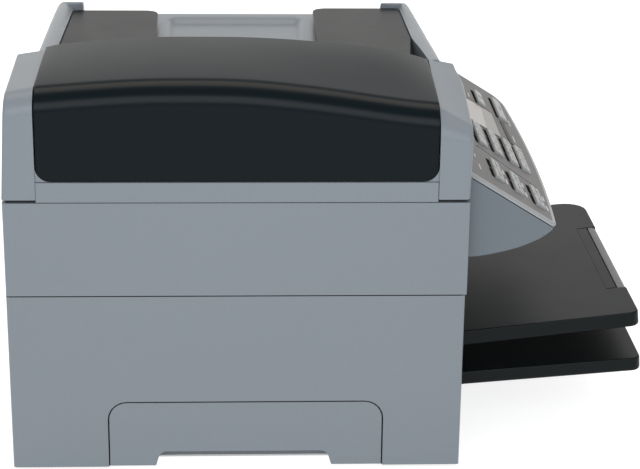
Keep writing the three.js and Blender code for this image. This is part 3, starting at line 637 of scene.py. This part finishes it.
def shoulders():
    """The scanner unit's lower walls, hollow inside."""
    def loop(d, dn, h):
        poly = [(130.6 + dn, -203 + d), (404 - d, -203 + d), (404 - d, 204.4 - d), (130.6 + dn, 204.4 - d)]
        return [V(w, f, h) for w, f in rounded(poly, [0.4, 5, 5, 0.4], 4)]
    rings = [loop(0.5, 0, TOP0), loop(0.05, 0, TOP0 + 0.8), loop(0, 0, 272), loop(0.3, 0, 275), loop(1.2, 0, 277.4), loop(2.8, 0, 279.4), loop(6.5, 0, 283.2),
             loop(10.6, 0, 287), loop(12.4, 0, 288), loop(16, 4, 288.2), loop(19, 5, 288.2), loop(19, 5, 285), loop(10, 5, 281), loop(4.4, 3, 274), loop(3.2, 3, TOP0 + 0.4), loop(3.0, 3, TOP0)]
    return piece("scanner_walls", Shape().loft(rings, loop=True), "light_shell", "scanner_unit", ("scanner_housing",))


shoulders()


def scanner_base():
    """The bed under the feeder, with the bay of the image sensor, and the plates that carry the feed rollers."""
    s = Shape()
    s.box((13, -202.6, TOP0), (35.6, 204.0, 272))
    s.box((64.4, -202.6, TOP0), (131, 204.0, 272))
    s.box((35.6, -202.6, TOP0), (64.4, -155.4, 272))
    s.box((35.6, 155.4, TOP0), (64.4, 204.0, 272))
    for a, b in ((-168, -163.5), (163.5, 168)):
        q = [(28, 271), (122, 271), (122, 300), (114, 333), (94, 333), (62, 314), (36, 312), (28, 300)]
        s.loft([[V(w, a, h) for w, h in q], [V(w, b, h) for w, h in q]])
    return piece("feeder_bed", s, "light_shell", "scanner_unit", ("scanner_housing",), bevel=0.0006, segments=2)


scanner_base()


def cover_corners():
    """The housing closes round the feeder cover's rounded lower corners."""
    for name, fe, sgn in (("cover_corner_rear", -173.2, 1), ("cover_corner_front", 176.2, -1)):
        pts = [(fe - 0.95 * sgn, 272.35), (fe + 14.5 * sgn, 272.35)]
        for i in range(0, 13):
            a = math.radians(90 * i / 12)
            pts.append((fe + sgn * (14 - 14.55 * math.sin(a)) * 1.0, 272.6 + 14 - 14.55 * math.cos(a) + (0.0 if i else 0.0)))
        pts = [pts[0], (fe + 13.0 * sgn, 272.35)] + [p for p in pts[2:] if p[1] > 272.36 and (p[0] - fe) * sgn > -0.94] + [(fe - 0.95 * sgn, 288.5)]
        rings = [[V(w, f + (0 if k == 0 else 0), h) for f, h in pts] for k, w in enumerate((1.6, 1.9, 8.0, 12.6))]
        piece(name, Shape().loft(rings), "light_shell", "scanner_unit", ("scanner_housing",), bevel=0.0003, segments=2, angle=50)


cover_corners()


def shadow_gap():
    """Painted shade: a dark ring set back in the gap between the main housing and the scanner unit, and a dark strip in
    the seam above the lower housing.
    """
    def loop(d, h):
        poly = [(d + 14, -203 + d), (404 - d, -203 + d), (404 - d, 204.2 - d), (d + 14, 204.2 - d)]
        return [V(w, f, h) for w, f in rounded(poly, [3, 6, 6, 3], 4)]
    s = Shape().loft([loop(3.2, 253.6), loop(3.2, 256.2), loop(6.4, 256.2), loop(6.4, 253.6)], loop=True)
    for a, b in ((-199.8, -174.6), (177.4, 201.0)):
        s.box((3.2, a, 253.6), (14.5, b, 256.2))
    # dark ring at the back of the gap: painted shade
    piece("gap_shade_ring", s, "black_plastic", "frame", ())
    # dark strip in the seam above the lower housing: painted shade
    s = Shape()
    s.box((0.35, -199.5, 165.9), (2.6, 199.5, 167.7))
    piece("seam_shade_strip", s, "black_plastic", "frame", (), mat=PAINTED_SHADE)


shadow_gap()


# ---- flat pieces with rounded lips ---------------------------------------------------------------------
def lip(r, n=4):
    """(inset, depth) steps of a rounded edge."""
    return [(r * (1 - math.sin(math.radians(90 * i / n))), r * (1 - math.cos(math.radians(90 * i / n)))) for i in range(n + 1)]


def document_tray():
    ang = -math.atan2(10.5, 247)
    o = V(137, 0, 347)
    ex, en = Vector((math.cos(ang), 0, math.sin(ang))), Vector((-math.sin(ang), 0, math.cos(ang)))
    poly = [(0, -167.0), (235.4, -168.15), (235.4, -81), (63, -76.5), (63, 77.5), (249.6, 79), (249.6, 169.3), (95, 169.4), (0, 160.4)]
    radii = [2, 5, 14, 3, 3, 15, 5, 30, 2]

    def loop(d, n):
        return [o + ex * (a / 1000) + Vector((0, -f / 1000, 0)) + en * (n / 1000) for a, f in soft_outline(poly, radii, d)]
    rings = [loop(d, -n) for d, n in lip(1.5)] + [loop(0, -3.0), loop(0.3, -3.7), loop(1.0, -4.0)]
    return piece("original_tray", Shape().loft(rings), "dark_shell", "document_tray", ("document_tray",), mat=TRAY_TOP)


document_tray()


def out_tray(name, node, f, h, rise, run, length, thick, pocket, r_far, r_near):
    ang = math.atan2(rise, run)
    o = V(0, f, h)
    o.x = -0.202
    et, dn = Vector((0, -math.cos(ang), math.sin(ang))), Vector((0, -math.sin(ang), -math.cos(ang)))
    w0, w1 = 48.0, 363.5

    def at(w, t, n):
        return o + Vector((w / 1000, 0, 0)) + et * (t / 1000) + dn * (n / 1000)
    full = [(w0, 0), (w1, 0), (w1, length), (w0, length)]
    rfull = [0.3, 0.3, r_far, r_near]
    s = Shape()
    if pocket:
        a, b, t0, deep = pocket
        notch = [(w0, 0), (w1, 0), (w1, length), (b, length), (b, t0), (a, t0), (a, length), (w0, length)]
        rn = [0.3, 0.3, r_far, 1.2, 1.5, 1.5, 1.2, r_near]
        s.loft([[at(w, t, n) for w, t in soft_outline(notch, rn, d)] for d, n in lip(1.4, 5)] + [[at(w, t, deep) for w, t in soft_outline(notch, rn, 0)]])
        s.loft([[at(w, t, n) for w, t in soft_outline(full, rfull, d)] for n, d in ((deep - 0.02, 0.02), (6.2, 0.0))])
        top_n = 6.2
    else:
        s.loft([[at(w, t, n) for w, t in soft_outline(full, rfull, d)] for d, n in lip(1.4, 5)] + [[at(w, t, 6.0) for w, t in soft_outline(full, rfull, 0)]])
        top_n = 6.0
    # skirt and ribs under the plate
    outer = [(0.0, top_n - 0.02), (0.0, thick - 2.2), (0.5, thick - 0.9), (1.6, thick)]
    inner = [(3.6, thick), (3.6, top_n - 0.5)]
    s.loft([[at(w, t, n) for w, t in soft_outline(full, rfull, d)] for d, n in outer + inner], loop=True)
    cw, ct = (w1 - w0 - 26) / 7, (length - 42) / 3
    for i in range(6):
        a = w0 + 4 + (i + 1) * cw + i * 3
        q = [(a, 1), (a + 3, 1), (a + 3, length - 4), (a, length - 4)]
        s.loft([[at(w, t, top_n - 0.5) for w, t in q], [at(w, t, thick - 0.4) for w, t in q]])
    for j in range(3):
        b = 10 + (j + 1) * ct + j * 3
        q = [(w0 + 3, b), (w1 - 3, b), (w1 - 3, b + 3), (w0 + 3, b + 3)]
        s.loft([[at(w, t, top_n - 0.5) for w, t in q], [at(w, t, thick - 0.4) for w, t in q]])
    return piece(name, s, "dark_shell", "frame", (node,))


out_tray("output_tray", "upper_tray", 196, 110.46, 17.4, 151, 176, 14.4, (111.7, 280.3, 156.5, 5.1), 28, 8)
out_tray("second_tray", "lower_tray", 196, 69.99, 12.1, 148, 180, 13.2, None, 28, 8)


def stopper():
    """The flap at the end of the upper tray, flush when it lies flat, with a raised lip along its outer edge."""
    ang = math.atan2(17.4, 151)
    o = V(0, 196, 110.46)
    et, dn = Vector((0, -math.cos(ang), math.sin(ang))), Vector((0, -math.sin(ang), -math.cos(ang)))

    def at(w, t, n):
        return o + Vector((w / 1000, 0, 0)) + et * (t / 1000) + dn * (n / 1000)

    def bar(name, prof, mat=None, nodes=(), grow=0.0):
        rings = []
        for w, k in ((112.1 - grow, 0.6), (112.4 - grow, 0.15), (113.0, 0.0), (150, 0), (196, 0), (240, 0), (279.0, 0.0), (279.6 + grow, 0.15), (279.9 + grow, 0.6)):
            ct = sum(t for t, n in prof) / len(prof)
            cn = sum(n for t, n in prof) / len(prof)
            rings.append([at(w, t + (0.3 if t < ct else -0.3) * k * 2, n + (0.3 if n < cn else -0.3) * k * 2) for t, n in prof])
        return piece(name, Shape().loft(rings), "dark_shell", "paper_stopper", nodes, mat=mat, bevel=0.0003, segments=2, angle=35)
    bar("stopper_flap", [(156.56, 0.1), (156.8, 0.05), (166.0, 0.05), (166.4, 0.4), (166.5, 1.9), (167.3, 1.9), (167.3, 4.7), (156.8, 4.7), (156.56, 4.3)], nodes=("paper_stopper",))
    # the lip's lighter grey paints the highlight on its ridge
    bar("stopper_lip", [(167.4, 1.0), (167.8, 0.3), (168.8, 0.0), (171.6, 0.1), (173.6, 0.6), (175.0, 1.6), (175.8, 3.0), (175.5, 4.6), (167.4, 4.6)], mat=LIP_HIGHLIGHT_GREY)
    fill = [[at(w, t, n) for t, n in ((154.7, 0.03), (156.45, 0.03), (156.45, 0.5), (154.7, 0.5))] for w in (111.5, 280.5)]
    piece("tray_filler", Shape().loft(fill), "dark_shell", "frame")


stopper()


# ---- cassette front -----------------------------------------------------------------------------------
def cassette_face():
    """The cassette's front, with a pull hollow open towards the table."""
    poly = [(-115.6, 0.5), (-73.66, 0.5), (-69.5, 14.5), (81.5, 14.5), (85.66, 0.5), (131.6, 0.5), (131.6, 63.6), (-115.6, 63.6)]
    radii = [0.6, 1.2, 8.0, 8.0, 1.2, 0.6, 16.4, 16.4]
    rings = [[V(w, f, h) for f, h in soft_outline(poly, radii, d)] for w, d in ((0.2, 0.65), (0.32, 0.38), (0.6, 0.25), (15.7, 0.25))]
    return piece("cassette_face", Shape().loft(rings), "light_shell", "cassette", ("cassette_front",))


cassette_face()


def cassette_gap_shade():
    """A dark ring in the narrow gap round the cassette's front: painted shade of the gap."""
    def path(f0, f1, top, r):
        return [(f1, 0.6), (f1, (top - r) / 2)] + arc(f1 - r, top - r, r, 0, 90, 9) + arc(f0 + r, top - r, r, 90, 180, 9) + [(f0, (top - r) / 2), (f0, 0.6)]
    ring = path(-116.8, 132.8, 64.8, 17.6) + path(-115.5, 131.5, 63.5, 16.3)[::-1]
    s = Shape().loft([[V(w, f, h) for f, h in ring] for w in (0.6, 2.2)])
    return piece("cassette_gap_shade", s, "black_plastic", "frame", (), mat=PAINTED_SHADE)


cassette_gap_shade()


# ---- control panel ------------------------------------------------------------------------------------
PA = math.radians(32)
PC, PS = math.cos(PA), math.sin(PA)
TILT = math.atan2(6, 383)
AL = Vector((math.cos(TILT), 0, math.sin(TILT)))
SL = Vector((0, PC, PS))
SL = (SL - AL * SL.dot(AL)).normalized()
NO = AL.cross(SL)
PF, PH, PW0, PW1 = 284.0, 226.75, 17.0, 400.0
PO = V(PW0, PF, PH)


def PP(w, s, n):
    return PO + (AL * (w - PW0) + SL * s + NO * n) / 1000


def bulge(w):
    r = 17.0
    far, near = min(r, max(0, w - (PW1 - r))), min(5, max(0, PW0 + 5 - w))
    return 8.5 * (1 - ((w - 208) / 196) ** 2) - (r - math.sqrt(r * r - far * far)) - (5 - math.sqrt(25 - near * near))


def panel_front(w):
    return -bulge(w) / PC


def panel_shell():
    low = [(204.9, 196.8), (214, 197.2), (226.6, 198.9), (238, 201.3), (251.5, 204.9), (261, 208.6), (270, 212.8), (276, 217.0), (280.5, 221.0)]
    ws = [17, 17.6, 18.5, 20, 20.9, 21.1, 22, 24] + [30 + 350 * i / 44 for i in range(45)] + [383, 386, 389, 392, 394, 395.9, 396.1, 397.4, 398.6, 399.4, 400]
    rings = []
    for w in ws:
        b = bulge(w)
        sf = panel_front(w)
        pts = []
        for i, (f, h) in enumerate(low):
            k = (i / (len(low) - 1)) ** 1.3 * 0.97
            pts.append(V(w, f + b * k, h - b * k * (PS / PC)))
        inside = 21 < w < 396
        deep = -7.6 if inside else -4.0
        pts.append(PP(w, sf + 1.6, -5.2))
        pts += [PP(w, sf + 0.35, -4.6), PP(w, sf + 0.5, -4.0), PP(w, sf + 3.0, -4.0), PP(w, sf + 3.3, deep), PP(w, 86.0, deep), PP(w, 86.3, -4.0)]
        # rear top and rear bottom
        top = PP(w, 92.6, -4.0)
        pts.append(Vector((top.x, (CY - 204.9) / 1000, top.z)))
        rings.append(pts)
    # the panel housing takes the darker copy of the shell colour: painted shade
    return piece("panel_shell", Shape().loft(rings), "light_shell", "scanner_unit", ("panel_housing",), bevel=0.0012, segments=3, angle=55, mat=SHELL_SHADED)


def panel_rim():
    ws = [17.0, 17.3, 18.2, 19.6, 22] + [22 + 358 * (i + 1) / 42 for i in range(42)] + [384, 388, 391.5, 394.5, 397, 398.8, 399.7, 400]
    outer = [(w, panel_front(w)) for w in ws] + [(400, 30), (400, 60), (400, 92.3), (300, 92.3), (200, 92.3), (100, 92.3), (17, 92.3), (17, 60), (17, 30)]
    inner = []
    for w, s in outer[: len(ws)]:
        wi = min(max(w, 22.4), 396.0)
        k = 0.0
        if w > 379:
            k = [0.5, 1.4, 2.6, 4.2, 6][min(4, int((w - 380) / 4))] * 0.9
        inner.append((wi, panel_front(min(wi, 392)) + 4.4 + k * (0 if w <= 383 else 1)))
    inner += [(396.0, 30), (396.0, 60), (396.0, 89.4), (300, 89.4), (200, 89.4), (100, 89.4), (22.4, 89.4), (22.4, 60), (22.4, 30)]
    section = [(0.16, -3.5), (0.03, -3.1), (0, -2.2), (0.02, -1.3), (0.1, -0.55), (0.26, -0.1), (0.45, 0.05), (0.8, 0.05), (0.95, -0.1), (1, -0.6), (1, -3.5)]
    rings = []
    for t, n in section:
        rings.append([PP(a[0] + (b[0] - a[0]) * t, a[1] + (b[1] - a[1]) * t, n) for a, b in zip(outer, inner)])
    return piece("panel_rim", Shape().loft(rings, loop=True), "light_shell", "scanner_unit", ("panel_housing",), mat=RIM_GREY_AND_EDGE_HIGHLIGHT)


panel_shell()
panel_rim()


def plate_patch(s, poly, radii, n0, n1, soft=0.3):
    """A thin raised patch on the panel's plate."""
    s.loft([[PP(w, q, n) for w, q in soft_outline(poly, radii, d)] for d, n in ((0, n0), (0, n1 - soft), (soft * 0.3, n1 - soft * 0.3), (soft, n1))])
    return s


def bezel():
    """A thin frame round the display, the label plate before it, and the dark strip of lamps."""
    s = Shape()
    poly = [(219.8, 25.4), (306.2, 25.4), (306.2, 66.2), (219.8, 66.2)]
    s.loft([[PP(w, q, n) for w, q in soft_outline(poly, [3.0] * 4, d)] for d, n in ((0, -0.3), (0.1, 0.25), (0.6, 0.6), (1.6, 0.6), (2.3, 0.15), (2.4, -0.3))], loop=True)
    piece("display_bezel", s, "panel_grey", "scanner_unit")
    piece("label_plate", plate_patch(Shape(), [(222.6, 28), (303.4, 28), (303.4, 41), (222.6, 45)], [1.2] * 4, -0.25, 0.35), "panel_grey", "scanner_unit", mat=LABEL)
    piece("lamp_strip", plate_patch(Shape(), [(222, 12.2), (294, 14.0), (294, 19.2), (222, 17.4)], [1.0] * 4, -0.3, 0.5), "black_plastic", "scanner_unit")


bezel()


def flap_edge():
    """The division line of the panel: a dark strip in the gap, painted shade, and beside it a rolled edge in the
    lighter rim grey, painting its highlight.
    """
    (wa, sa), (wb, sb) = (105.0, 6.5), (127.6, 70.6)
    s, g = Shape(), Shape()
    rings, dark = [], []
    for t in (0.0, 0.02, 0.25, 0.5, 0.75, 0.98, 1.0):
        w, q = wa + (wb - wa) * t, sa + (sb - sa) * t
        k = 0.3 if t in (0.0, 1.0) else 1.0
        rings.append([PP(w - 3.2, q, -0.3), PP(w - 2.9, q, -0.3 + 0.5 * k), PP(w - 2.1, q, -0.3 + 0.62 * k), PP(w - 1.2, q, -0.3 + 0.5 * k), PP(w - 0.9, q, -0.3 + 0.38 * k), PP(w - 0.85, q, -0.9)])
        dark.append([PP(w - 0.84, q, -0.9), PP(w - 0.84, q, 0.03), PP(w + 2.2, q, 0.06), PP(w + 2.2, q, -0.9)])
    # the lighter rim grey on the rolled edge: painted highlight
    piece("flap_edge", s.loft(rings), "panel_grey", "scanner_unit", mat=RIM_GREY_AND_EDGE_HIGHLIGHT)
    # the dark strip: painted shade in the gap
    piece("flap_gap", g.loft(dark), "black_plastic", "scanner_unit", mat=PAINTED_SHADE)


flap_edge()


def key_wells():
    """Dark patches above the keys, painted shade of the finger slots, and pale label strips beside them."""
    s, t = Shape(), Shape()
    for r, (w, q) in ROWS.items():
        for i in (0, 1):
            a = w + 26 * i
            plate_patch(s, [(a - 0.6, q + 9.6), (a + 23.6, q + 9.6), (a + 23.0, q + 14.4), (a + 1.4, q + 14.0)], [1.2] * 4, -1.6, 0.02, 0.15)
            plate_patch(t, [(a + 3, q - 4.4), (a + 15, q - 4.4), (a + 15, q - 2.2), (a + 3, q - 2.2)], [0.6] * 4, -0.3, 0.02, 0.1)
    for row in DIAL:
        for i in range(3):
            a, q = 146 + 23.6 * i, row[3]
            plate_patch(s, [(a - 0.6, q + 9.6), (a + 21.6, q + 9.6), (a + 21.0, q + 14.3), (a + 1.2, q + 13.9)], [1.2] * 4, -1.6, 0.02, 0.15)
    for a, b, q in ((304, 372, 18.5 - 0.9), (313, 357, 43 - 0.9)):
        plate_patch(s, [(a - 0.6, q), (b + 0.6, q), (b - 0.4, q + 4.6), (a + 1.4, q + 4.2)], [1.2] * 4, -1.6, 0.02, 0.15)
    for a, q, n in ((52, 76, 14), (84, 77.5, 10), (150, 72.5, 12), (176, 73, 12), (236, 72, 16), (262, 72.6, 12), (320, 52, 14), (300, 3.6, 18), (240, 7.4, 20)):
        plate_patch(t, [(a, q), (a + n, q), (a + n, q + 1.5), (a, q + 1.5)], [0.4] * 4, -0.3, 0.02, 0.1)
    # the dark patches: painted shade
    piece("key_wells", s, "black_plastic", "scanner_unit", mat=PAINTED_SHADE)
    piece("label_marks", t, "panel_grey", "scanner_unit", mat=MARK)


# ---- marks on the keys: plain digits and signs ----------------------------------------------------------
def stroke(s, pts, width, n0, n1, frame_at):
    """A flat mark following pts, in local a, b."""
    for (a0, b0), (a1, b1) in zip(pts, pts[1:]):
        d = math.hypot(a1 - a0, b1 - b0)
        ux, uy = (a1 - a0) / d, (b1 - b0) / d
        e = width / 2
        q = [(a0 - ux * e - uy * e, b0 - uy * e + ux * e), (a0 - ux * e + uy * e, b0 - uy * e - ux * e), (a1 + ux * e + uy * e, b1 + uy * e - ux * e), (a1 + ux * e - uy * e, b1 + uy * e + ux * e)]
        s.loft([[frame_at(a, b, n0) for a, b in q], [frame_at(a, b, n1) for a, b in q]])


SEG = {"a": [(0, 2), (1, 2)], "b": [(1, 2), (1, 1)], "c": [(1, 1), (1, 0)], "d": [(0, 0), (1, 0)], "e": [(0, 0), (0, 1)], "f": [(0, 1), (0, 2)], "g": [(0, 1), (1, 1)]}
DIGITS = {"0": "abcdef", "1": "bc", "2": "abged", "3": "abgcd", "4": "fgbc", "5": "afgcd", "6": "afgedc", "7": "abc", "8": "abcdefg", "9": "abcdfg"}
ROWS = {"a": (54, 50), "b": (50, 29), "c": (46, 6.5)}
DIAL = (("1", "2", "3", 55), ("4", "5", "6", 37), ("7", "8", "9", 19.2), ("star", "0", "hash", 5.4))


key_wells()


def key_top(w0, w1, s0, s1):
    """Local frame on the sloping top of a key cap."""
    c_w, c_s = (w0 + w1) / 2, (s0 + 1.6 + s1 - 0.9) / 2
    k = 1.2 / (s1 - s0 - 2.5)

    def at(a, b, n):
        return PP(c_w + a, c_s + b, 2.5 + b * k + n)
    return at


for row in DIAL:
    for i, key in enumerate(row[:3]):
        w0 = 146 + 23.6 * i
        at = key_top(w0, w0 + 21, row[3], row[3] + 10.5)
        s = Shape()
        if key in DIGITS:
            for g in DIGITS[key]:
                stroke(s, [(-1.3 + 2.6 * x, -2.2 + 2.2 * y) for x, y in SEG[g]], 0.55, -0.05, 0.07, at)
        elif key == "star":
            for a in (0, 60, 120):
                c, d = math.cos(math.radians(a)) * 1.9, math.sin(math.radians(a)) * 1.9
                stroke(s, [(-c, -d), (c, d)], 0.5, -0.05, 0.07, at)
        else:
            for q in (-0.8, 0.8):
                stroke(s, [(-2.0, q), (2.0, q)], 0.5, -0.05, 0.07, at)
                stroke(s, [(q, -2.0), (q, 2.0)], 0.5, -0.05, 0.071, at)
        o = piece("mark_" + key, s, "key_grey", "key_" + key, mat=INK)
for r, (w, q) in ROWS.items():
    for i in (1, 2):
        w0 = w + 26 * (i - 1)
        at = key_top(w0, w0 + 23, q, q + 10.5)
        s = Shape()
        stroke(s, [(-6, 0.8), (6, 0.8)], 0.9, -0.05, 0.07, at)
        stroke(s, [(-6, -1.2), (1.5, -1.2)], 0.7, -0.05, 0.07, at)
        piece("mark_%s%d" % (r, i), s, "key_grey", "onetouch_key_%s%d" % (r, i), mat=INK)
for nm, (w0, w1, s0, s1) in {"start_key": (304, 372, 7.5, 18.5), "stop_key": (313, 357, 33, 43)}.items():
    at = key_top(w0, w1, s0, s1)
    s = Shape()
    if nm == "start_key":
        stroke(s, [(-6, 0), (6, 0), (2.6, 2.2)], 0.8, -0.05, 0.07, at)
        stroke(s, [(6, 0), (2.6, -2.2)], 0.8, -0.05, 0.071, at)
    else:
        stroke(s, [(-3, -2), (3, -2), (3, 2), (-3, 2), (-3, -2)], 0.8, -0.05, 0.07, at)
    piece("mark_" + nm, s, "key_grey", nm, mat=INK)


# ---- stage ------------------------------------------------------------------------------------------
def make_stage():
    me = bpy.data.meshes.new("floor")
    s, n = 12.0, 24
    vs = [(-s + 2 * s * i / n, -s + 2 * s * j / n, 0) for i in range(n + 1) for j in range(n + 1)]
    fs = [(i * (n + 1) + j, (i + 1) * (n + 1) + j, (i + 1) * (n + 1) + j + 1, i * (n + 1) + j + 1) for i in range(n) for j in range(n)]
    me.from_pydata(vs, [], fs)
    fl = bpy.data.objects.new("floor", me)
    COLL.objects.link(fl)
    k = Mat("floor")
    c = (0.5, 0.5, 0.5)
    k.link(k.mix(k.noise(3, 3), tuple(x * 0.995 for x in c), c), k.b.inputs["Base Color"])
    k.b.inputs["Roughness"].default_value = 0.9
    k.b.inputs["Specular IOR Level"].default_value = 0.05
    k.b.inputs["Emission Color"].default_value = (1, 1, 1, 1)
    k.b.inputs["Emission Strength"].default_value = FLOOR_GLOW
    paint(fl, k.m)

    world = bpy.data.worlds.new("world")
    scene.world = world
    world.use_nodes = True
    bg = world.node_tree.nodes["Background"]
    bg.inputs[0].default_value = (0.97, 0.975, 0.98, 1)
    bg.inputs[1].default_value = WORLD

    def area(name, loc, target, size, power, rgb=(1, 1, 1)):
        li = bpy.data.lights.new(name, "AREA")
        li.shape = "RECTANGLE"
        li.size, li.size_y = size
        li.energy = power
        li.color = rgb
        ob = bpy.data.objects.new(name, li)
        COLL.objects.link(ob)
        ob.location = loc
        ob.rotation_mode = "QUATERNION"
        ob.rotation_quaternion = (Vector(target) - Vector(loc)).to_track_quat("-Z", "Y")
        return ob

    area("front_soft", (-2.6, 0.15, 1.45), (0, 0, 0.25), (2.6, 1.35), FRONT * 4 * 2.6 * 1.35, (0.95, 0.98, 1))
    area("top_soft", (0.45, 0, 2.8), (0.1, 0, 0.3), (2.4, 1.4), TOP * 4 * 2.4 * 1.4, (1, 0.9, 0.8))
    area("back_wall", (3.0, 0, 1.35), (0, 0, 0.5), (7.0, 2.6), BACK * 4 * 7.0 * 2.6, (1, 0.97, 0.93))


FLOOR_GLOW, WORLD, FRONT, TOP, BACK = 0.8, 0.6, 2.8, 2.6, 0.39
make_stage()
